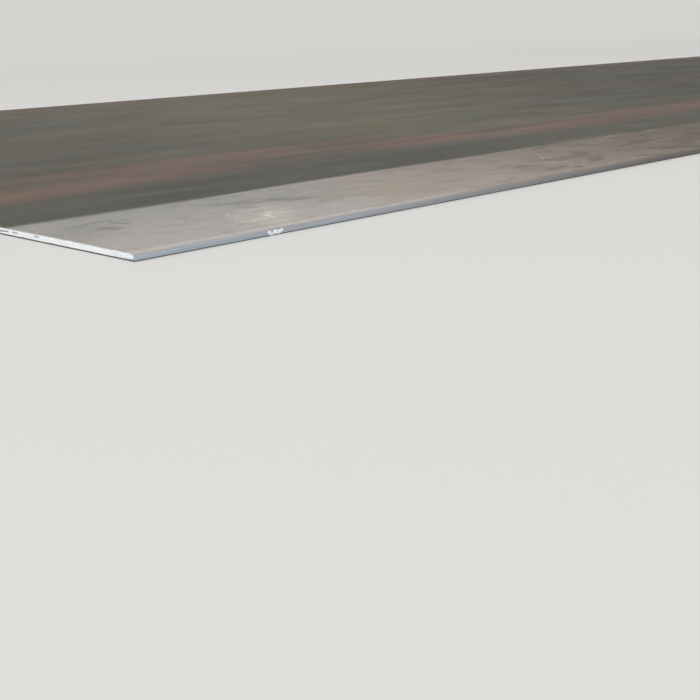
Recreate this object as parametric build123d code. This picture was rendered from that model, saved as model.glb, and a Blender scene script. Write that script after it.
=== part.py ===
from build123d import *
import math
import os

# A hot-rolled steel plate, levelled and sheared to length from wide strip.
# It is one solid. X runs along the rolling direction, Y across it and Z is up.
# The origin is the middle of the underside. All sizes are millimetres or degrees.

# Overall sizes
length = 6000.0
width = 2000.0
thickness = 8.0

# Long edges, left as the mill rolled them: rounder above than below, with a slight belly
mill_edge_top_radius = 3.5
mill_edge_bottom_radius = 1.2
mill_edge_belly = 0.4

# The two roundings of a long edge take at most these shares of the thickness
top_rounding_share = 0.55
bottom_rounding_share = 0.3

# Ends, cut by a guillotine shear: the steel rolls over where the blade enters,
# from a hair outside the face, then comes an upright land and then a leaning break
rollover_reach = 1.4
rollover_depth = 0.6
rollover_lead = 0.01
blade_land = 2.4
break_angle = 4.0

# What each cut takes off the strip, and how far the cuts run clear of it
end_trim = 25.0
clear_of_strip = 5.0


def rolled_section():
    """The section across the strip, between its two mill edges, on the YZ plane."""
    side = width / 2
    shoulder = side - mill_edge_belly
    top_radius = min(mill_edge_top_radius, top_rounding_share * thickness)
    bottom_radius = min(mill_edge_bottom_radius, bottom_rounding_share * thickness)
    with BuildSketch(Plane.YZ) as section:
        with BuildLine():
            Line((-shoulder, 0), (shoulder, 0))
            ThreePointArc((shoulder, 0), (side, thickness / 2), (shoulder, thickness))
            Line((shoulder, thickness), (-shoulder, thickness))
            ThreePointArc((-shoulder, thickness), (-side, thickness / 2), (-shoulder, 0))
        make_face()
        fillet(section.vertices().group_by(Axis.Y)[-1], top_radius)
        fillet(section.vertices().group_by(Axis.Y)[0], bottom_radius)
    return section.sketch


def shear_profile():
    """The outline of what the far cut takes off, on the XZ plane.

    That end is cut from below. The outline follows the finished end upwards
    and then goes round the waste, clear of the strip on every side.
    """
    tip = length / 2
    rollover_start = tip - rollover_reach
    land_top = rollover_depth + blade_land
    above = thickness + clear_of_strip
    below = -clear_of_strip
    beyond = tip + end_trim + clear_of_strip
    break_top = tip - (above - land_top) * math.tan(math.radians(break_angle))
    with BuildSketch(Plane.XZ) as profile:
        with BuildLine():
            TangentArc((rollover_start, -rollover_lead), (tip, rollover_depth), tangent=(1, 0))
            Polyline((tip, rollover_depth), (tip, land_top), (break_top, above), (beyond, above))
            Polyline((beyond, above), (beyond, below), (rollover_start, below), (rollover_start, -rollover_lead))
        make_face()
    return profile.sketch


def steel_plate():
    """The rolled strip with its two ends sheared off, the far one from below and the near one from above."""
    strip = extrude(rolled_section(), length / 2 + end_trim, both=True)
    far_cut = extrude(shear_profile(), width / 2 + clear_of_strip, both=True)
    middle = Axis((0, 0, thickness / 2), (0, 1, 0))
    near_cut = far_cut.rotate(middle, 180)
    return strip - far_cut - near_cut


os.makedirs("parts", exist_ok=True)
export_step(steel_plate(), "parts/steel_plate.step")
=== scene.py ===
import math

import bmesh
import bpy
from mathutils import Matrix, Vector, noise


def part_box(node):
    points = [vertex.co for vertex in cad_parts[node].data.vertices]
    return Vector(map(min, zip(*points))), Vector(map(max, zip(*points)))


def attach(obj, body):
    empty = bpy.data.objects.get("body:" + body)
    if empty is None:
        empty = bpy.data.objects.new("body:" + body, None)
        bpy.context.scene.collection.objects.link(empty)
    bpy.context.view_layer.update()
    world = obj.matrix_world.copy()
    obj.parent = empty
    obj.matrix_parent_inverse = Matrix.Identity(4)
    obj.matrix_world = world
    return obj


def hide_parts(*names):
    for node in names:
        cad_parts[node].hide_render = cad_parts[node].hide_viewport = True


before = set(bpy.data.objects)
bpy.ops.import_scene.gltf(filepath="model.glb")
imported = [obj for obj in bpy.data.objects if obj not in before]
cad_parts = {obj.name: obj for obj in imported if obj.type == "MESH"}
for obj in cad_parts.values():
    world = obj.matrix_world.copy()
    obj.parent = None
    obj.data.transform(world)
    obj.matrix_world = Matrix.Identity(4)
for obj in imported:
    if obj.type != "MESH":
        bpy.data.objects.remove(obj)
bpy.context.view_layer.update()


# The plate
# One piece of hot-rolled structural steel, 6 m long, 2 m wide and 8 mm thick. Its long edges
# are as the mill rolled them, round above and nearly sharp below. A guillotine shear cut its ends.

mm = 0.001
plate_tip, plate_side, plate_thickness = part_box("steel_plate")[1]

mill_edge_top_radius = 3.5 * mm
mill_edge_bottom_radius = 1.2 * mm
mill_edge_belly = 0.4 * mm

rollover_reach = 1.4 * mm
rollover_depth = 0.6 * mm
rollover_lead = 0.01 * mm
blade_land = 2.4 * mm
break_angle = math.radians(4)

# The long edges waver and have small nicks, and the cuts are slightly torn: how deep, and over what length
edge_waver = 0.22 * mm
edge_waver_length = 90 * mm
edge_nicks = 0.12 * mm
edge_nick_length = 7 * mm
edge_nick_height = 3 * mm
cut_roughness = 0.07 * mm
cut_tear_length = 5 * mm
cut_tear_height = 2 * mm

# Rows of points: how many in each rounding, at which shares of each rolled-over edge, how far in
# beside each long edge, and how close together at least. Edges sharper than the angle look sharp
rounding_rows = 8
rollover_row_shares = (0.08, 0.3, 0.6, 1)
beside_long_edge = 0.8 * mm
closest_rows = 0.03 * mm
sharp_edge_angle = math.radians(20)


def mill_edge_inset(height):
    """How far a long edge stands in from the plate's side, at a height above the underside."""
    half = plate_thickness / 2
    belly_radius = (half ** 2 + mill_edge_belly ** 2) / (2 * mill_edge_belly)
    top_rounding = (mill_edge_top_radius, plate_thickness - mill_edge_top_radius)
    bottom_rounding = (mill_edge_bottom_radius, mill_edge_bottom_radius)
    for radius, centre in (top_rounding, bottom_rounding):
        rise = centre - half
        centre_inset = belly_radius - math.sqrt((belly_radius - radius) ** 2 - rise ** 2)
        meets_belly = half + rise * belly_radius / (belly_radius - radius)
        if abs(height - half) > abs(meets_belly - half) and (height - half) * rise > 0:
            return centre_inset - math.sqrt(max(radius ** 2 - (height - centre) ** 2, 0))
    return belly_radius - math.sqrt(belly_radius ** 2 - (height - half) ** 2)


def sheared_end_inset(depth):
    """How far an end stands in from its tip, at a depth under the face that the blade entered."""
    if depth < rollover_depth:
        drop = rollover_depth + rollover_lead
        radius = (rollover_reach ** 2 + drop ** 2) / (2 * drop)
        return rollover_reach - math.sqrt(radius ** 2 - (radius - depth - rollover_lead) ** 2)
    below_land = max(depth - rollover_depth - blade_land, 0)
    return below_land * math.tan(break_angle)


def growing_steps(length, first, growth, last):
    """Distances from 0 to length, in steps that grow from about the first size to the last."""
    sizes = [first]
    while sum(sizes) < length:
        sizes.append(min(sizes[-1] * growth, last))
    scale = length / sum(sizes)
    distances = [0]
    for size in sizes:
        distances.append(distances[-1] + size * scale)
    return distances


def plate_heights():
    """The heights of the rows of points round the plate's edges, closer together in the roundings."""
    heights = [0, plate_thickness / 2, plate_thickness]
    for row in range(rounding_rows):
        rise = math.sin(math.radians(90 * row / rounding_rows))
        heights.append(plate_thickness - mill_edge_top_radius * (1 - rise))
        heights.append(mill_edge_bottom_radius * (1 - rise))
    for share in rollover_row_shares:
        heights.append(rollover_depth * share)
        heights.append(plate_thickness - rollover_depth * share)
    heights.append(rollover_depth + blade_land)
    heights.append(plate_thickness - rollover_depth - blade_land)
    heights.sort()
    apart = [heights[0]]
    for height in heights[1:]:
        if height - apart[-1] > closest_rows:
            apart.append(height)
    apart[-1] = plate_thickness
    return apart


along = growing_steps(2 * plate_tip, first=3 * mm, growth=1.0075, last=40 * mm)
across = growing_steps(2 * plate_side, first=2 * mm, growth=1.06, last=50 * mm)
across.insert(1, beside_long_edge)
across.insert(-1, 2 * plate_side - beside_long_edge)
along_shares = [distance / along[-1] for distance in along]
across_shares = [distance / across[-1] for distance in across]
heights = plate_heights()
last_i = len(along) - 1
last_j = len(across) - 1
last_k = len(heights) - 1


def plate_point(i, j, k):
    """Where a point of the plate's surface lies: the i-th along, the j-th across and the k-th up."""
    height = heights[k]
    near_tip = -plate_tip + sheared_end_inset(plate_thickness - height)
    far_tip = plate_tip - sheared_end_inset(height)
    x = near_tip + (far_tip - near_tip) * along_shares[i]
    side = plate_side - mill_edge_inset(height)
    y = side * (2 * across_shares[j] - 1)
    middle = math.sin(math.pi * height / plate_thickness)
    if j in (0, last_j):
        outwards = -1 if j == 0 else 1
        waver = noise.noise(Vector((x / edge_waver_length, outwards, 0))) * edge_waver
        nick_place = Vector((x / edge_nick_length, outwards, height / edge_nick_height))
        y += outwards * middle * (waver + noise.noise(nick_place) * edge_nicks)
    if i in (0, last_i):
        outwards = -1 if i == 0 else 1
        tear_place = Vector((outwards, y / cut_tear_length, height / cut_tear_height))
        x += outwards * middle * noise.noise(tear_place) * cut_roughness
    return x, y, height


points = []
point_numbers = {}


def number_of(i, j, k):
    """The number of a point of the plate's surface, which is made when it is first asked for."""
    if (i, j, k) not in point_numbers:
        point_numbers[i, j, k] = len(points)
        points.append(plate_point(i, j, k))
    return point_numbers[i, j, k]


# Rolled skin on the top, the underside and the long edges. Each face goes round its four corners
# one way or the other, so that it faces outwards
one_way = ((0, 0), (1, 0), (1, 1), (0, 1))
other_way = ((0, 0), (0, 1), (1, 1), (1, 0))
skin_faces = []
for i in range(last_i):
    for j in range(last_j):
        for k, corners in ((last_k, one_way), (0, other_way)):
            skin_faces.append([number_of(i + a, j + b, k) for a, b in corners])
for i in range(last_i):
    for k in range(last_k):
        for j, corners in ((0, one_way), (last_j, other_way)):
            skin_faces.append([number_of(i + a, j, k + b) for a, b in corners])

# On the ends, the skin goes on over the rolled-over edge, and the rest is bare cut steel
cut_faces = []
for j in range(last_j):
    for k in range(last_k):
        for i, corners in ((0, other_way), (last_i, one_way)):
            middle_height = (heights[k] + heights[k + 1]) / 2
            depth = plate_thickness - middle_height if i == 0 else middle_height
            faces = skin_faces if depth < rollover_depth else cut_faces
            faces.append([number_of(i, j + a, k + b) for a, b in corners])


def put_in_scene(name, data):
    """Makes an object of a mesh, a lamp or a camera, and puts it in the scene."""
    made = bpy.data.objects.new(name, data)
    bpy.context.scene.collection.objects.link(made)
    return made


plate_mesh = bpy.data.meshes.new("plate")
plate_mesh.from_pydata(points, [], skin_faces + cut_faces)
plate_mesh.polygons.foreach_set("material_index", [0] * len(skin_faces) + [1] * len(cut_faces))
plate_mesh.shade_smooth()
plate_mesh.set_sharp_from_angle(angle=sharp_edge_angle)
plate = put_in_scene("plate", plate_mesh)
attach(plate, "root")
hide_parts("steel_plate")


def linear(hex_colour):
    """A colour written as sRGB hex, as the linear red, green, blue and alpha that a shader takes."""
    values = [int(hex_colour[n:n + 2], 16) / 255 for n in (1, 3, 5)]
    return [v / 12.92 if v <= 0.04045 else ((v + 0.055) / 1.055) ** 2.4 for v in values] + [1]


def add_node(material, kind, settings=None, inputs=None):
    """Adds a node. Settings are its own values, and inputs its sockets, each with a value or an output."""
    node = material.node_tree.nodes.new(kind)
    for name, value in (settings or {}).items():
        setattr(node, name, value)
    for name, value in (inputs or {}).items():
        if isinstance(value, bpy.types.NodeSocket):
            material.node_tree.links.new(value, node.inputs[name])
        else:
            node.inputs[name].default_value = value
    return node


def between(material, value, low, high):
    """How far a value has come from low to high, smoothly from 0 to 1. High may be the smaller."""
    span = {"Value": value, "From Min": low, "From Max": high}
    if high < low:
        span = {"Value": value, "From Min": high, "From Max": low, "To Min": 1.0, "To Max": 0.0}
    return add_node(material, "ShaderNodeMapRange", {"interpolation_type": "SMOOTHSTEP"}, span).outputs[0]


# How far on in the noise each numbered field of blots lies, so that no two are alike
fields_apart = (7.31, 3.17, 1.73)


def blots(material, place, size, low, high, turn=0, number=0, detail=5.0):
    """A field from 0 to 1 of uneven blots of about that size, in metres, turned by some degrees.

    The noise under it counts as 0 below low and as 1 above high. Each number gives other blots.
    """
    moved = [number * apart for apart in fields_apart]
    to_blots = {"Location": moved, "Rotation": (0, 0, math.radians(turn)), "Scale": size, "Vector": place}
    stretched = add_node(material, "ShaderNodeMapping", {"vector_type": "TEXTURE"}, to_blots).outputs[0]
    uneven = {"Scale": 1.0, "Detail": detail, "Roughness": 0.55, "Vector": stretched}
    return between(material, add_node(material, "ShaderNodeTexNoise", inputs=uneven).outputs[0], low, high)


def stained(material, colour, hex_colour, *covers):
    """A colour with a stain over it, as thick as its covers multiplied, each an output or a number."""
    cover = covers[0]
    for factor in covers[1:]:
        both = {0: cover, 1: factor}
        cover = add_node(material, "ShaderNodeMath", {"operation": "MULTIPLY"}, both).outputs[0]
    mixed = {0: cover, 6: colour, 7: linear(hex_colour)}
    return add_node(material, "ShaderNodeMix", {"data_type": "RGBA"}, mixed).outputs[2]


def layered(material, hex_colour, layers):
    """A plain colour with stains over it in turn, each with its own colour and covers."""
    colour = linear(hex_colour)
    for stain_colour, *covers in layers:
        colour = stained(material, colour, stain_colour, *covers)
    return colour


def new_material(name):
    """A material that has no nodes yet."""
    material = bpy.data.materials.new(name)
    material.use_nodes = True
    material.node_tree.nodes.clear()
    return material


# The skin of the plate is mill scale: the dark iron oxide that hot rolling leaves. It is grey
# with an olive or a red cast, half matt, streaked lengthwise by the rolls, and paler where
# dust has settled. The long edges have the same scale, cleaner, with rolled lines, and bluer,
# which is a painted reflection of a bluish sky.
mill_scale = new_material("mill_scale")
place = add_node(mill_scale, "ShaderNodeTexCoord").outputs["Object"]
x_place, y_place, height_up = add_node(mill_scale, "ShaderNodeSeparateXYZ", inputs={0: place}).outputs
from_painted_end = add_node(
    mill_scale, "ShaderNodeMath", {"operation": "ADD"}, {0: x_place, 1: plate_tip}
).outputs[0]
from_near_edge = add_node(
    mill_scale, "ShaderNodeMath", {"operation": "ADD"}, {0: y_place, 1: plate_side}
).outputs[0]
facing = add_node(mill_scale, "ShaderNodeNewGeometry").outputs["Normal"]
facing_up = add_node(mill_scale, "ShaderNodeSeparateXYZ", inputs={0: facing}).outputs["Z"]
flatness = add_node(mill_scale, "ShaderNodeMath", {"operation": "ABSOLUTE"}, {0: facing_up}).outputs[0]

# Plain scale: an olive grey that varies slowly, browner along the far edge, with one winding
# reddish band along the plate where it cooled more slowly. Distances here are in metres
red_band_winds = 0.12
winding = blots(mill_scale, place, (1.6, 0.3, 1), 0.3, 0.7, number=26, detail=1.0)
across_band = add_node(
    mill_scale,
    "ShaderNodeMath",
    {"operation": "MULTIPLY_ADD"},
    {0: winding, 1: red_band_winds, 2: from_near_edge},
).outputs[0]
red_starts = between(mill_scale, across_band, 0.44, 0.56)
red_stops = between(mill_scale, across_band, 0.71, 0.58)
broken_up = blots(mill_scale, place, (0.9, 0.12, 1), 0.25, 0.6, number=4, detail=3.0)
greyer_near = between(mill_scale, from_painted_end, 1.3, 0.4)
# Darker and browner between 1.2 and 5.6 m along, which is partly painted shade for the light falling off
# along the plate
browner_from = between(mill_scale, from_painted_end, 1.2, 2.8)
browner_until = between(mill_scale, from_painted_end, 5.6, 4.0)
by_far_edge = between(mill_scale, from_near_edge, 2 * plate_side - 0.25, 2 * plate_side - 0.05)
rusty_parts = blots(mill_scale, place, (0.9, 0.5, 1), 0.48, 0.62, number=38)

# Each layer is a colour, the fields that say where it lies, and last how strongly it shows.
# Over the slow changes of colour lie the streaks that the rolls left, patches where the scale
# is thinner, smudges of dust, and freckles of rust
skin_layers = (
    ("#6c684e", blots(mill_scale, place, (1.5, 0.8, 1), 0.35, 0.65, number=2, detail=2.0), 0.9),
    ("#4a4c49", blots(mill_scale, place, (1.2, 0.6, 1), 0.5, 0.7, number=3, detail=2.0), 0.6),
    ("#635744", blots(mill_scale, place, (2.2, 0.25, 1), 0.5, 0.75, number=27, detail=2.0), 0.4),
    ("#40403c", greyer_near, 0.6),
    ("#35311f", browner_from, browner_until, 0.6),
    ("#8a6252", red_starts, red_stops, broken_up, 0.6),
    ("#74554a", by_far_edge, 0.5),
    ("#3b3b36", blots(mill_scale, place, (2.2, 0.03, 1), 0.48, 0.62, number=34, detail=3.0), 0.2),
    ("#6a685e", blots(mill_scale, place, (1.6, 0.014, 1), 0.54, 0.66, number=35, detail=3.0), 0.14),
    ("#3f4240", blots(mill_scale, place, (0.16, 0.07, 1), 0.52, 0.6, number=36), 0.25),
    ("#6e6b5e", blots(mill_scale, place, (0.5, 0.08, 1), 0.56, 0.7, turn=-3, number=37), 0.3),
    ("#6a4c3a", blots(mill_scale, place, (0.014, 0.011, 1), 0.64, 0.69, number=39), rusty_parts, 0.55),
)
skin_colour = layered(mill_scale, "#504e42", skin_layers)

# A strip of the top along the near edge is paler with dust: warm by the edge, greenish further in,
# and browner and more mottled away from the painted end. Its inner border wanders a little. The
# browning is partly painted shade, for the light falling off along the plate. A pale warm band right
# at the edge, fading away from the painted end, is a painted highlight
dusty_width = 0.226
dusty_border = 0.02
border_wanders = 0.015
wandering = blots(mill_scale, place, (0.5, 0.06, 1), 0.3, 0.7, number=1)
across_strip = add_node(
    mill_scale,
    "ShaderNodeMath",
    {"operation": "MULTIPLY_ADD"},
    {0: wandering, 1: border_wanders, 2: from_near_edge},
).outputs[0]
near_strip = between(mill_scale, across_strip, dusty_width + dusty_border, dusty_width)
upper = between(mill_scale, height_up, 0.3 * plate_thickness, 0.7 * plate_thickness)
dusty = add_node(
    mill_scale, "ShaderNodeMath", {"operation": "MULTIPLY"}, {0: near_strip, 1: upper}
).outputs[0]
further_in = between(mill_scale, across_strip, 0.032, dusty_width)
highlight_rim_starts = between(mill_scale, from_near_edge, 0.5 * mm, 3 * mm)
highlight_rim_stops = between(mill_scale, across_strip, 22 * mm, 5 * mm)
highlight_rim_fades = between(mill_scale, from_painted_end, 0.6, 0.3)
shade_and_browning_along = between(mill_scale, from_painted_end, 0.25, 1.35)
warmer_along = between(mill_scale, from_painted_end, 0.3, 0.5)
mottling_calms = between(mill_scale, from_painted_end, 2.2, 1.2)
patchy_further = between(mill_scale, from_painted_end, 1.5, 2.4)
smudged_further = between(mill_scale, from_painted_end, 1.25, 1.6)
pale_mottling = blots(mill_scale, place, (0.07, 0.035, 1), 0.48, 0.66, number=42)
dark_mottling = blots(mill_scale, place, (0.055, 0.028, 1), 0.5, 0.66, number=43)
dust_layers = (
    ("#b6aea7", blots(mill_scale, place, (0.16, 0.12, 1), 0.35, 0.65, number=5), 0.5),
    ("#989894", further_in, 0.8),
    ("#979791", blots(mill_scale, place, (0.22, 0.1, 1), 0.5, 0.7, turn=-20, number=6), 0.6),
    ("#b4a196", warmer_along, blots(mill_scale, place, (0.2, 0.12, 1), 0.3, 0.55, number=28), 0.5),
    ("#b39d98", blots(mill_scale, place, (0.05, 0.03, 1), 0.55, 0.68, number=7), 0.4),
    ("#9fa49b", blots(mill_scale, place, (0.05, 0.03, 1), 0.56, 0.68, number=29), 0.4),
    # The pale band by the edge is a painted highlight, and the dark brown after it is partly painted shade
    ("#cec5bd", highlight_rim_starts, highlight_rim_stops, highlight_rim_fades, 0.75),
    ("#675b49", shade_and_browning_along, 0.97),
    ("#8b7f70", shade_and_browning_along, mottling_calms, pale_mottling, 0.7),
    ("#51452f", shade_and_browning_along, mottling_calms, dark_mottling, 0.6),
    ("#80746a", patchy_further, blots(mill_scale, place, (0.6, 0.14, 1), 0.45, 0.62, number=40), 0.6),
    ("#50473b", smudged_further, blots(mill_scale, place, (0.14, 0.05, 1), 0.55, 0.66, number=41), 0.45),
)
dust_colour = layered(mill_scale, "#b5afaa", dust_layers)
colour = add_node(
    mill_scale, "ShaderNodeMix", {"data_type": "RGBA"}, {0: dusty, 6: skin_colour, 7: dust_colour}
).outputs[2]

# Stains on the dusty strip, with ragged borders: from the painted end, from the near edge, half
# length, half width, turn, all in millimetres and degrees, then the colour and how strongly it shows
stains = (
    (71, 178, 32, 9, 0, "#74716d", 0.85),
    (92, 160, 28, 10, 85, "#7b7875", 0.7),
    (64, 131, 15, 12, -40, "#7e7a77", 0.75),
    (43, 170, 24, 7, -8, "#918d89", 0.5),
    (35, 150, 50, 65, 0, "#92938e", 0.6),
    (20, 175, 24, 45, 10, "#b3a39c", 0.4),
    (294, 148, 105, 20, -26, "#86857e", 0.85),
    (222, 66, 80, 40, 52, "#c8c2b9", 0.8),
    (336, 89, 34, 14, 20, "#a08d83", 0.6),
    (446, 130, 60, 18, -4, "#a5938a", 0.6),
    (462, 92, 110, 40, 35, "#ac9888", 0.6),
    (380, 14, 60, 14, 5, "#a9988f", 0.4),
    (570, 100, 110, 40, 20, "#a09284", 0.5),
    (713, 92, 30, 14, 30, "#7e6561", 0.85),
    (720, 62, 54, 32, 30, "#8a735d", 0.65),
    (717, 44, 15, 11, -80, "#75604f", 0.7),
    (741, 42, 16, 7, 30, "#675a4c", 0.7),
    (755, 24, 16, 10, 30, "#5b5344", 0.8),
    (810, 100, 26, 15, 0, "#675d4c", 0.75),
    (852, 100, 40, 22, 30, "#6a5949", 0.75),
    (846, 86, 18, 10, 80, "#8f6a5f", 0.8),
    (897, 117, 29, 14, 30, "#545040", 0.9),
    (839, 57, 30, 13, 30, "#564e3e", 0.95),
    (835, 78, 60, 34, 30, "#85756a", 0.5),
    (926, 22, 34, 10, -35, "#66594a", 0.85),
    (985, 90, 60, 9, 6, "#6b6052", 0.8),
    (1038, 37, 70, 11, -36, "#574c3f", 0.95),
    (1085, 130, 110, 14, 4, "#5e5346", 0.85),
    (1130, 60, 90, 20, 8, "#62574a", 0.7),
    (1090, 14, 50, 9, 2, "#75594a", 0.7),
)
# Pale strokes that a brush or a chalk left, crisp and narrow, with the same values
strokes = (
    (218, 60, 15, 3, 80, "#e6e0d6", 1.0),
    (230, 74, 9, 3, 84, "#ded8ce", 0.9),
    (196, 104, 18, 4, 60, "#cdc6bc", 0.6),
    (844, 156, 14, 3.6, 43, "#aeaea8", 0.7),
    (816, 130, 18, 3.6, 43, "#b0b0aa", 0.7),
)
smears = blots(mill_scale, place, (0.035, 0.02, 1), 0.24, 0.56, number=8)
# Where a mark begins and where it is whole, counted from its middle in half lengths and half widths
mark_begins = 1.1
mark_is_whole = 0.4
# Noise from 0 to 1 pulls the stains' borders about by this much, so they are set half of it further on
raggedness = 44 * mm
pulls = add_node(mill_scale, "ShaderNodeTexNoise", inputs={"Scale": 26.0, "Detail": 4.0, "Vector": place})
ragged_place = add_node(
    mill_scale,
    "ShaderNodeVectorMath",
    {"operation": "MULTIPLY_ADD"},
    {0: pulls.outputs["Color"], 1: (raggedness, raggedness, 0), 2: place},
).outputs[0]
for marks, drawn_on, further_on in ((stains, ragged_place, raggedness / 2), (strokes, place, 0)):
    for from_end, from_edge, half_length, half_width, turn, hex_colour, amount in marks:
        mark_x = -plate_tip + from_end * mm + further_on
        mark_y = -plate_side + from_edge * mm + further_on
        to_mark = {
            "Location": (mark_x, mark_y, plate_thickness),
            "Rotation": (0, 0, math.radians(turn)),
            "Scale": (half_length * mm, half_width * mm, plate_thickness),
            "Vector": drawn_on,
        }
        on_mark = add_node(mill_scale, "ShaderNodeMapping", {"vector_type": "TEXTURE"}, to_mark).outputs[0]
        off_middle = add_node(mill_scale, "ShaderNodeVectorMath", {"operation": "LENGTH"}, {0: on_mark})
        inside = between(mill_scale, off_middle.outputs["Value"], mark_begins, mark_is_whole)
        colour = stained(mill_scale, colour, hex_colour, inside, smears, amount)

# Grain, the rolls' lengthwise lines and mottling, all half as strong on the plain scale as in the
# dust. Real grain and roll lines are under 1 mm across, and are drawn 3 to 4 mm across to show
grain = blots(mill_scale, place, (0.004, 0.003, 0.003), 0.3, 0.7, number=9)
roll_lines = blots(mill_scale, place, (0.4, 0.003, 1), 0.45, 0.62, number=10)
mottling = blots(mill_scale, place, (0.03, 0.035, 1), 0.5, 0.72, number=19)
in_dust = add_node(
    mill_scale, "ShaderNodeMapRange", inputs={"Value": dusty, "To Min": 0.5, "To Max": 1.0}
).outputs[0]
colour = stained(mill_scale, colour, "#5d5a55", grain, in_dust, 0.2)
colour = stained(mill_scale, colour, "#4f4d4a", roll_lines, in_dust, 0.12)
colour = stained(mill_scale, colour, "#5b5650", mottling, in_dust, 0.2)

# Thin pale scratches from handling, slightly bent: the length and width of the blots that they
# are the peaks of, in metres, the noise where a peak starts, its turn, its number and its strength
scratches = (
    (0.5, 0.0022, 0.73, 9, 11, 0.3),
    (0.7, 0.0026, 0.73, -17, 12, 0.3),
    (0.3, 0.0020, 0.74, 74, 13, 0.25),
)
scratch_rise = 0.03
scratch_bend = 0.3
bends = add_node(mill_scale, "ShaderNodeTexNoise", inputs={"Scale": 0.8, "Detail": 1.0, "Vector": place})
bent = add_node(
    mill_scale,
    "ShaderNodeVectorMath",
    {"operation": "MULTIPLY_ADD"},
    {0: bends.outputs["Color"], 1: (scratch_bend, scratch_bend, 0), 2: place},
).outputs[0]
scraped = blots(mill_scale, place, (0.8, 0.5, 1), 0.46, 0.6, number=14, detail=2.0)
for length, width, peak, turn, number, amount in scratches:
    size = (length, width, 1)
    scratch = blots(mill_scale, bent, size, peak, peak + scratch_rise, turn, number, detail=1.0)
    colour = stained(mill_scale, colour, "#b9b4ab", scratch, scraped, amount)

# The long edges: grey, bluer below the rounding and near the painted end, and dark at the foot.
# The blue is a painted reflection of a bluish sky on the upright part of the edge. The dark foot is
# painted shade where the plate meets what it lies on, and the darkening further along is painted
# shade for the light falling off along the plate
bluish_low = between(mill_scale, height_up, 7.4 * mm, 4.4 * mm)
bluish_near = between(mill_scale, from_painted_end, 0.7, 0.1)
edge_shade_along = between(mill_scale, from_painted_end, 0, 1.2)
shaded_foot = between(mill_scale, height_up, 1.7 * mm, 0.5 * mm)
edge_layers = (
    ("#a9b7c2", bluish_low, bluish_near, 0.9),
    ("#b3b0ba", blots(mill_scale, place, (0.03, 1, 0.006), 0.5, 0.65, number=24), bluish_near, 0.6),
    ("#8f9298", blots(mill_scale, place, (0.12, 1, 0.0012), 0.45, 0.65, number=15), 0.45),
    ("#a5948f", blots(mill_scale, place, (0.06, 1, 0.004), 0.58, 0.7, number=16), 0.4),
    ("#4a4846", blots(mill_scale, place, (0.008, 1, 0.0012), 0.66, 0.7, number=17), 0.7),
    ("#5c5854", edge_shade_along, 0.95),
    ("#3f4246", shaded_foot, 0.75),
)
edge_colour = layered(mill_scale, "#a6a6aa", edge_layers)
on_top = between(mill_scale, flatness, 0.55, 0.85)
colour = add_node(
    mill_scale, "ShaderNodeMix", {"data_type": "RGBA"}, {0: on_top, 6: edge_colour, 7: colour}
).outputs[2]

# A line where the rounding begins: pale near the painted end, a painted highlight with some wear,
# and dark brown further along, which is painted shade
rounding_begins = between(mill_scale, flatness, 0.75, 0.9)
top_ends = between(mill_scale, flatness, 0.9995, 0.985)
wear_and_highlight_blots = blots(mill_scale, place, (0.04, 1, 0.3), 0.4, 0.6, number=20)
wear_and_highlight_near = between(mill_scale, from_painted_end, 0.65, 0.25)
colour = stained(mill_scale, colour, "#c4beb7", rounding_begins, top_ends, wear_and_highlight_blots, wear_and_highlight_near, 0.55)
colour = stained(mill_scale, colour, "#4f463c", rounding_begins, top_ends, edge_shade_along, 0.6)

glossier = blots(mill_scale, place, (0.3, 0.12, 0.01), 0.3, 0.7, number=18)
roughness = add_node(
    mill_scale, "ShaderNodeMapRange", inputs={"Value": glossier, "To Min": 0.55, "To Max": 0.66}
).outputs[0]
relief = add_node(
    mill_scale, "ShaderNodeBump", inputs={"Strength": 0.5, "Distance": 0.03 * mm, "Height": grain}
).outputs[0]
shader = add_node(
    mill_scale,
    "ShaderNodeBsdfPrincipled",
    inputs={"Specular IOR Level": 0.25, "Base Color": colour, "Roughness": roughness, "Normal": relief},
)
add_node(mill_scale, "ShaderNodeOutputMaterial", inputs={0: shader.outputs[0]})

# The cut ends are bare sheared steel: a bright land that the blade rubbed smooth, scored upright,
# and under it the dull grain of the break. Both have begun to rust, in thin brown stains. Real
# scores and grain are about half as coarse as they are drawn, which would not show.
sheared_steel = new_material("sheared_steel")
place = add_node(sheared_steel, "ShaderNodeTexCoord").outputs["Object"]
x_place, y_place, height_up = add_node(sheared_steel, "ShaderNodeSeparateXYZ", inputs={0: place}).outputs
on_far_end = add_node(
    sheared_steel, "ShaderNodeMath", {"operation": "GREATER_THAN"}, {0: x_place, 1: 0.0}
).outputs[0]
depth_on_near_end = add_node(
    sheared_steel, "ShaderNodeMath", {"operation": "SUBTRACT"}, {0: plate_thickness, 1: height_up}
).outputs[0]
depth = add_node(
    sheared_steel,
    "ShaderNodeMix",
    {"data_type": "FLOAT"},
    {0: on_far_end, 2: depth_on_near_end, 3: height_up},
).outputs[0]
break_wavers = 0.5 * mm
wavering = blots(sheared_steel, place, (1, 0.006, 1), 0.2, 0.8, number=21)
wavering_depth = add_node(
    sheared_steel,
    "ShaderNodeMath",
    {"operation": "MULTIPLY_ADD"},
    {0: wavering, 1: break_wavers, 2: depth},
).outputs[0]
land_ends = rollover_depth + blade_land
broken = between(sheared_steel, wavering_depth, land_ends + 0.15 * mm, land_ends + 0.35 * mm)
score_lines = blots(sheared_steel, place, (1, 0.0008, 0.03), 0.35, 0.65, number=22)
torn_grain = blots(sheared_steel, place, (1, 0.0012, 0.0009), 0.35, 0.65, number=23)
land_colour = layered(sheared_steel, "#cecbca", [("#aeacaa", score_lines, 0.6)])
break_colour = layered(sheared_steel, "#9a9795", [("#6d6a68", torn_grain, 0.7)])
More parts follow.
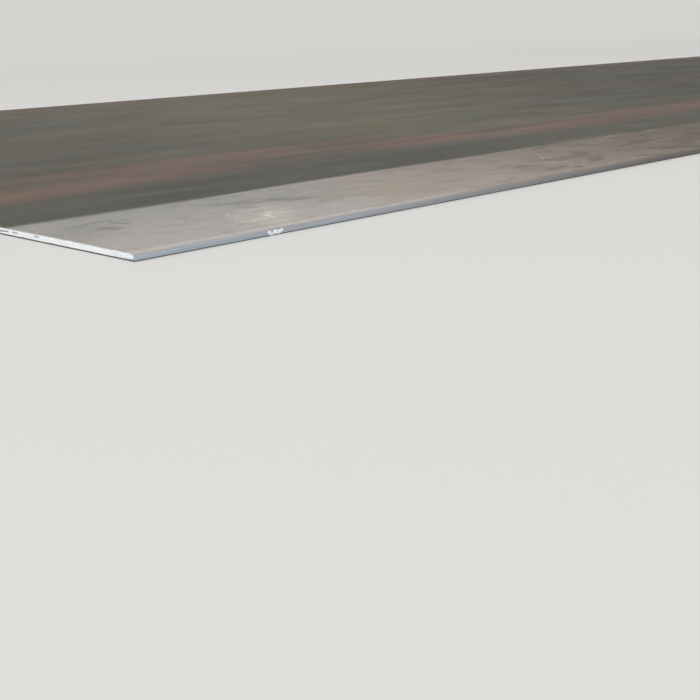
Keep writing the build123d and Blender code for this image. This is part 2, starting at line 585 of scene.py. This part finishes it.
colour = add_node(
    sheared_steel, "ShaderNodeMix", {"data_type": "RGBA"}, {0: broken, 6: land_colour, 7: break_colour}
).outputs[2]
rust = blots(sheared_steel, place, (1, 0.02, 0.003), 0.52, 0.7, number=25)
colour = stained(sheared_steel, colour, "#7a6152", rust, 0.4)

# The foot of each end is darker, partly dirt and partly painted shade where the plate meets what it
# lies on. Near the corner, where the paint leaves a little of it bare, the steel is paler and bluer
at_foot = between(sheared_steel, height_up, 1.7 * mm, 0.6 * mm)
above_foot = between(sheared_steel, height_up, 0.5 * mm, 1.8 * mm)
by_corner = between(sheared_steel, y_place, -plate_side + 34 * mm, -plate_side + 12 * mm)
colour = stained(sheared_steel, colour, "#43423f", at_foot, 0.8)
colour = stained(sheared_steel, colour, "#b3b9c1", by_corner, above_foot, 0.9)

roughness = add_node(
    sheared_steel, "ShaderNodeMapRange", inputs={"Value": broken, "To Min": 0.4, "To Max": 0.7}
).outputs[0]
furrows = add_node(
    sheared_steel, "ShaderNodeMix", {"data_type": "FLOAT"}, {0: broken, 2: score_lines, 3: torn_grain}
).outputs[0]
relief = add_node(
    sheared_steel, "ShaderNodeBump", inputs={"Strength": 0.8, "Distance": 0.06 * mm, "Height": furrows}
).outputs[0]
shader = add_node(
    sheared_steel,
    "ShaderNodeBsdfPrincipled",
    inputs={"Metallic": 0.35, "Base Color": colour, "Roughness": roughness, "Normal": relief},
)
add_node(sheared_steel, "ShaderNodeOutputMaterial", inputs={0: shader.outputs[0]})
plate_mesh.materials.append(mill_scale)
plate_mesh.materials.append(sheared_steel)


# The white paint on the end
# The yard brushes white marking paint over the ends of its plates to tell one grade from another.
# It is a thick chalky coat with ragged borders and bare gaps, which stops just short of the corner.

# Lengths with mm are in metres, for the mesh. The others count millimetres, up the end from the
# underside or along it from the long edge
paint_starts_up = 1.4
paint_stops_up = 7.35
paint_from_corner = 1.3

# How a border wavers: the length of each waver, its height and its noise number
bottom_wavers = ((19, 0.3, 3), (4, 0.2, 4))
top_wavers = ((14, 0.45, 1), (3.5, 0.3, 2))

# Away from the corner the brush smeared over onto the top, where this noise is above a threshold
smears_over_top = 7.0
smears_from = 225
smears_full_after = 15
smear_length = 16
smear_threshold = 0.22

# At the corner the lower border lifts, and the side border slants away towards the top. The paint
# deepens only half as fast inwards from the side border as from the others
corner_lift = 1.3
corner_lift_reach = 18
corner_slant = 5.5
corner_waver = 0.4
corner_waver_height = 1.5
side_border_deepens = 0.5
slant_starts_up = 3.0
land_top_up = (plate_thickness - rollover_depth) / mm

# Gaps near the corner: from the long edge, up the end, half length and half height. Noise of the
# length and height under them makes their borders ragged
bare_gaps = (
    (172, 5.2, 6.0, 0.75),
    (214, 5.0, 6.5, 0.8),
    (232, 4.5, 6.5, 0.8),
    (243, 3.9, 5.0, 0.75),
)
gap_raggedness = 0.5
gap_ragged_length = 2.2
gap_ragged_height = 0.8

# Further on, gaps lie where noise of this length and height is above a threshold
chance_gaps_from = 256
chance_gap_length = 9
chance_gap_height = 1.3
chance_gap_threshold = 0.36
chance_gap_depth = 2.5

# The coat is thinner within this distance of a border, has a bead along it, and sinks into the
# steel past it
paint_coat = 0.17 * mm
paint_sinks = 0.25 * mm
paint_backs = 0.5 * mm
thins_within = 0.35
sinks_within = 0.4
bead_height = 0.35
bead_from_border = 0.5
bead_width = 0.3

# Brush marks in the coat: the length and height of each, how strong it is, and its noise number
brush_marks = ((28, 1.1, 0.3, 8), (5, 0.8, 0.25, 9))

# How far on in the noise each numbered wisp lies, so that no two are alike
wisps_apart = 9.7


def wisp(along_by, up_by, number):
    """Smooth noise from about -1 to 1, read at a place counted in the noise's own steps."""
    return noise.noise(Vector((along_by, up_by, number * wisps_apart)))


def wavering_border(up, wavers, from_edge):
    """How far up a border of the paint runs there, in millimetres."""
    for waver_length, waver_height, number in wavers:
        up += waver_height * wisp(from_edge / waver_length, 0, number)
    return up


def end_paint_cover(from_edge, up):
    """How deep inside the painted area a spot of the end lies, in millimetres, and negative outside."""
    nearest_edge = min(from_edge, 2 * plate_side / mm - from_edge)
    smearing = min(max((from_edge - smears_from) / smears_full_after, 0), 1)
    smear = max(wisp(from_edge / smear_length, 0, 10) - smear_threshold, 0)
    top = wavering_border(paint_stops_up, top_wavers, from_edge) + smearing * smears_over_top * smear
    bottom = wavering_border(paint_starts_up, bottom_wavers, from_edge)
    bottom += corner_lift * max(1 - nearest_edge / corner_lift_reach, 0)
    slant = max(up - slant_starts_up, 0) / (land_top_up - slant_starts_up)
    corner = paint_from_corner + corner_slant * slant ** 4
    corner += corner_waver * wisp(0, up / corner_waver_height, 5)
    cover = min(top - up, up - bottom, (nearest_edge - corner) * side_border_deepens)
    rough = gap_raggedness * wisp(from_edge / gap_ragged_length, up / gap_ragged_height, 6)
    for gap_from_edge, gap_up, half_length, half_height in bare_gaps:
        away = math.hypot((from_edge - gap_from_edge) / half_length, (up - gap_up) / half_height)
        cover = min(cover, (away - 1 + rough) * half_height)
    if from_edge > chance_gaps_from:
        chance = wisp(from_edge / chance_gap_length, up / chance_gap_height, 7)
        cover = min(cover, (chance_gap_threshold - chance) * chance_gap_depth)
    return cover


def paint_lift(cover, from_edge, up):
    """How far the face of the paint stands off the steel, or lies under it where there is no paint."""
    if cover < 0:
        return -paint_sinks * min(-cover / sinks_within, 1)
    thickness = 1 + bead_height * math.exp(-((cover - bead_from_border) / bead_width) ** 2)
    for mark_length, mark_height, strength, number in brush_marks:
        thickness += strength * wisp(from_edge / mark_length, up / mark_height, number)
    return paint_coat * min(cover / thins_within, 1) * thickness


def paint_sheet(name, spots, lifts):
    """A closed sheet over a grid of spots on the steel, each a place and the direction out of it.

    Its face stands off the steel by the lifts, and its back lies inside the steel.
    """
    rows = len(spots)
    columns = len(spots[0])
    face_points = []
    back_points = []
    for spot_row, lift_row in zip(spots, lifts):
        for (spot, out), lift in zip(spot_row, lift_row):
            face_points.append(spot + out * lift)
            back_points.append(spot - out * paint_backs)
    to_back = len(face_points)
    faces = []
    for r in range(rows - 1):
        for c in range(columns - 1):
            here = r * columns + c
            corners = (here, here + 1, here + columns + 1, here + columns)
            faces.append(corners)
            faces.append([to_back + n for n in reversed(corners)])
    rim = list(range(columns))
    rim += [r * columns + columns - 1 for r in range(1, rows)]
    rim += [(rows - 1) * columns + c for c in range(columns - 2, -1, -1)]
    rim += [r * columns for r in range(rows - 2, 0, -1)]
    for here, there in zip(rim, rim[1:] + rim[:1]):
        faces.append((there, here, to_back + here, to_back + there))
    mesh = bpy.data.meshes.new(name)
    mesh.from_pydata(face_points + back_points, [], faces)
    turned = bmesh.new()
    turned.from_mesh(mesh)
    bmesh.ops.recalc_face_normals(turned, faces=turned.faces)
    turned.to_mesh(mesh)
    turned.free()
    mesh.shade_smooth()
    sheet = put_in_scene(name, mesh)
    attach(sheet, "root")
    return sheet


def walk_up(profile):
    """The places of a profile of (in, up) points, each with its outward direction and the way walked."""
    walked = profile[0][1]
    places = []
    for n, (inwards, up) in enumerate(profile):
        before = profile[max(n - 1, 0)]
        after = profile[min(n + 1, len(profile) - 1)]
        run = Vector((after[0] - before[0], after[1] - before[1])).normalized()
        walked += math.hypot(inwards - before[0], up - before[1])
        places.append((inwards, up, Vector((-run.y, run.x)), walked))
    return places


# The sheet's rows go up the cut, round the rolled-over edge and in over the top, and its columns
# go from one long edge to the other, following the roundings of both
cut_rows = 18
first_row_up = 0.2
cut_row_step = 0.4
rolled_over_shares = (0.8, 0.6, 0.42, 0.28, 0.16, 0.07, 0.02, 0)
top_rows = 10
top_reach = 6.5 * mm
corner_clearance = 0.6 * mm
end_heights = [(first_row_up + cut_row_step * row) * mm for row in range(cut_rows)]
end_heights += [plate_thickness - rollover_depth * share for share in rolled_over_shares]
end_profile = [(sheared_end_inset(plate_thickness - height), height) for height in end_heights]
for row in range(top_rows):
    end_profile.append((rollover_reach + top_reach * (row + 1) / top_rows, plate_thickness))
end_half = plate_side - corner_clearance
end_stations = growing_steps(2 * end_half, first=0.8 * mm, growth=1.012, last=5 * mm)
end_spots = []
end_lifts = []
for inwards, up, out, walked in walk_up(end_profile):
    end_spots.append([])
    end_lifts.append([])
    narrowed = (end_half - mill_edge_inset(up)) / end_half
    for distance in end_stations:
        off_middle = (distance - end_half) * narrowed
        from_edge = (off_middle + plate_side) / mm
        spot = Vector((-plate_tip + inwards, off_middle, up))
        cover = end_paint_cover(from_edge, walked / mm)
        end_spots[-1].append((spot, Vector((out.x, 0, out.y))))
        end_lifts[-1].append(paint_lift(cover, from_edge, walked / mm))
end_paint = paint_sheet("end_paint", end_spots, end_lifts)

# Marking paint is a matt chalky emulsion. It is a slightly bluish white, streaked where the
# bristles thinned it, with a little dust in the streaks and grey steel showing through thin spots.
# Real bristle marks are finer than 0.5 mm, and are drawn 0.7 mm high so that they show.
marking_paint = new_material("marking_paint")
place = add_node(marking_paint, "ShaderNodeTexCoord").outputs["Object"]
bristles = blots(marking_paint, place, (0.035, 0.035, 0.0007), 0.35, 0.65, number=30)
cross_strokes = blots(marking_paint, place, (0.007, 0.007, 0.0018), 0.5, 0.68, number=31)
paint_layers = (
    ("#e4eaef", bristles, 0.5),
    ("#c9d0d6", cross_strokes, 0.45),
    ("#b9bab8", blots(marking_paint, place, (0.02, 0.02, 0.0015), 0.6, 0.75, number=32), 0.5),
    ("#8f908e", blots(marking_paint, place, (0.0018, 0.0018, 0.0009), 0.7, 0.76, number=33), 0.5),
)
colour = layered(marking_paint, "#fafdff", paint_layers)
relief = add_node(
    marking_paint, "ShaderNodeBump", inputs={"Strength": 0.7, "Distance": 0.08 * mm, "Height": bristles}
).outputs[0]
shader = add_node(
    marking_paint,
    "ShaderNodeBsdfPrincipled",
    inputs={"Specular IOR Level": 0.35, "Roughness": 0.6, "Base Color": colour, "Normal": relief},
)
add_node(marking_paint, "ShaderNodeOutputMaterial", inputs={0: shader.outputs[0]})
end_paint.data.materials.append(marking_paint)


# The dab of paint on the long edge
# A second mark, near the painted end, daubed on the rolled edge with the tip of the same brush.
# It is a handful of touches that run into each other.

# Each touch: from the painted end, above the underside, half length, half height and lean, in millimetres
touches = (
    (165.8, 4.0, 2.7, 1.3, -0.2),
    (168.4, 2.0, 3.2, 1.5, 0.0),
    (172.4, 4.2, 2.6, 1.5, 0.2),
    (174.0, 2.2, 2.1, 1.1, 0.0),
    (177.2, 4.4, 2.6, 1.1, 0.05),
    (178.6, 2.2, 3.6, 1.1, 0.05),
    (181.6, 4.4, 2.6, 1.4, 0.15),
)
touch_raggedness = 0.35
touch_ragged_length = 1.6
touch_ragged_height = 1.0

# The dab's sheet, along the edge and up it, in millimetres
dab_starts = 156
dab_stops = 191
dab_step = 0.4
dab_rows = 23
dab_first_row_up = 0.5
dab_row_step = 0.3


def dab_cover(from_end, up):
    """How deep inside a touch of paint a spot of the long edge lies, in millimetres."""
    rough = touch_raggedness * wisp(from_end / touch_ragged_length, up / touch_ragged_height, 12)
    cover = -1
    for touch_from_end, touch_up, half_length, half_height, lean in touches:
        off_along = from_end - touch_from_end
        off_up = up - touch_up - lean * off_along
        away = math.hypot(off_along / half_length, off_up / half_height)
        cover = max(cover, (1 - away + rough) * half_height)
    return cover


dab_heights = [(dab_first_row_up + dab_row_step * row) * mm for row in range(dab_rows)]
dab_profile = [(mill_edge_inset(height), height) for height in dab_heights]
dab_columns = round((dab_stops - dab_starts) / dab_step) + 1
dab_stations = [dab_starts + dab_step * n for n in range(dab_columns)]
dab_spots = []
dab_lifts = []
for inwards, up, out, walked in walk_up(dab_profile):
    dab_spots.append([])
    dab_lifts.append([])
    for from_end in dab_stations:
        spot = Vector((-plate_tip + from_end * mm, -plate_side + inwards, up))
        cover = dab_cover(from_end, walked / mm)
        dab_spots[-1].append((spot, Vector((0, out.x, out.y))))
        dab_lifts[-1].append(paint_lift(cover, from_end, walked / mm))
edge_paint = paint_sheet("edge_paint", dab_spots, dab_lifts)
edge_paint.data.materials.append(marking_paint)


# The floor and the light
# A plain pale floor and a white sky all round light the plate evenly, and one large soft lamp
# in front of the near corner adds to them there. Far off, the floor runs into the pale backdrop.

backdrop_colour = "#d3d2cf"
floor_side = 120
half_floor = floor_side / 2
floor_corners = [(-half_floor, -half_floor, 0), (half_floor, -half_floor, 0)]
floor_corners += [(half_floor, half_floor, 0), (-half_floor, half_floor, 0)]
floor_mesh = bpy.data.meshes.new("floor")
floor_mesh.from_pydata(floor_corners, [], [(0, 1, 2, 3)])
floor = put_in_scene("floor", floor_mesh)


def seen_as_backdrop(material):
    """1 for rays that see the backdrop, from the camera, in gloss or through glass, and 0 for light."""
    ray = add_node(material, "ShaderNodeLightPath").outputs
    seen = ray["Is Camera Ray"]
    for way in ("Is Glossy Ray", "Is Transmission Ray"):
        adding = {"operation": "ADD", "use_clamp": True}
        seen = add_node(material, "ShaderNodeMath", adding, {0: seen, 1: ray[way]}).outputs[0]
    return seen


# Matt pale floor paint, which turns into the backdrop between these distances from the plate's
# middle, counted in half plates each way
fades_from = 1.8
fades_until = 5.5
floor_paint = new_material("floor_paint")
spot_on_floor = add_node(floor_paint, "ShaderNodeNewGeometry").outputs["Position"]
in_plates = add_node(
    floor_paint,
    "ShaderNodeVectorMath",
    {"operation": "DIVIDE"},
    {0: spot_on_floor, 1: (plate_tip, plate_side, 1)},
).outputs[0]
plates_off = add_node(floor_paint, "ShaderNodeVectorMath", {"operation": "LENGTH"}, {0: in_plates})
far_off = between(floor_paint, plates_off.outputs["Value"], fades_from, fades_until)
fading = add_node(
    floor_paint, "ShaderNodeMath", {"operation": "MULTIPLY"}, {0: far_off, 1: seen_as_backdrop(floor_paint)}
).outputs[0]
lit_floor = add_node(
    floor_paint, "ShaderNodeBsdfPrincipled", inputs={"Base Color": linear("#dddcd9"), "Roughness": 0.9}
).outputs[0]
backdrop = add_node(floor_paint, "ShaderNodeEmission", inputs={"Color": linear(backdrop_colour)}).outputs[0]
faded = add_node(floor_paint, "ShaderNodeMixShader", inputs={0: fading, 1: lit_floor, 2: backdrop}).outputs[0]
add_node(floor_paint, "ShaderNodeOutputMaterial", inputs={0: faded})
floor_mesh.materials.append(floor_paint)

# The sky is white daylight for what it lights, and the backdrop's colour for what sees it
daylight_strength = 0.82
studio = bpy.data.worlds.new("studio")
bpy.context.scene.world = studio
studio.use_nodes = True
studio.node_tree.nodes.clear()
light = add_node(
    studio, "ShaderNodeBackground", inputs={"Color": linear("#ffffff"), "Strength": daylight_strength}
).outputs[0]
backdrop = add_node(studio, "ShaderNodeBackground", inputs={"Color": linear(backdrop_colour)}).outputs[0]
sky = add_node(
    studio, "ShaderNodeMixShader", inputs={0: seen_as_backdrop(studio), 1: light, 2: backdrop}
).outputs[0]
add_node(studio, "ShaderNodeOutputWorld", inputs={0: sky})

lamp_side = 3.5
lamp_watts = 292
lamp_from_corner = Vector((-6.5, -4.5, 6))
near_corner = Vector((-plate_tip, -plate_side, plate_thickness))
lamp_data = bpy.data.lights.new("softbox", "AREA")
lamp_data.shape = "SQUARE"
lamp_data.size = lamp_side
lamp_data.energy = lamp_watts
lamp = put_in_scene("softbox", lamp_data)
lamp.location = near_corner + lamp_from_corner
lamp.rotation_euler = (-lamp_from_corner).to_track_quat("-Z", "Y").to_euler()


# The camera
# It stands where the photograph was taken from: low, a little outside the near corner. The
# pixels are those of the photograph, in which the plate's long and short edges each meet far off.

photo_size = 700
middle_pixel = photo_size / 2
long_edges_meet_at = (1545, -9)
ends_meet_at = (-850, 57)
near_corner_at = (133.9, 253.6)
camera_over_plate = 197.5 * mm


def offset_of(pixel):
    """A pixel's offset from the middle of the photograph, rightwards and upwards."""
    return pixel[0] - middle_pixel, middle_pixel - pixel[1]


# Two directions at right angles give the focal length, and then how the plate's axes are seen
long_right, long_up = offset_of(long_edges_meet_at)
end_right, end_up = offset_of(ends_meet_at)
focal_pixels = math.sqrt(-(long_right * end_right + long_up * end_up))
x_axis_seen = Vector((long_right, long_up, -focal_pixels)).normalized()
y_axis_seen = Vector((end_right, end_up, -focal_pixels)).normalized()
z_axis_seen = x_axis_seen.cross(y_axis_seen)
camera_turn = Matrix((x_axis_seen, y_axis_seen, z_axis_seen))
corner_seen = Vector((*offset_of(near_corner_at), -focal_pixels))
corner_seen *= -camera_over_plate / z_axis_seen.dot(corner_seen)

camera_data = bpy.data.cameras.new("camera")
camera_data.sensor_fit = "HORIZONTAL"
camera_data.sensor_width = 36
camera_data.lens = camera_data.sensor_width * focal_pixels / photo_size
camera_data.clip_start = 0.02
camera_data.clip_end = 300
camera = put_in_scene("camera", camera_data)
camera_stands = Matrix.Translation(near_corner - camera_turn @ corner_seen)
camera.matrix_world = camera_stands @ camera_turn.to_4x4()
bpy.context.scene.camera = camera
bpy.context.scene.view_settings.view_transform = "Standard"
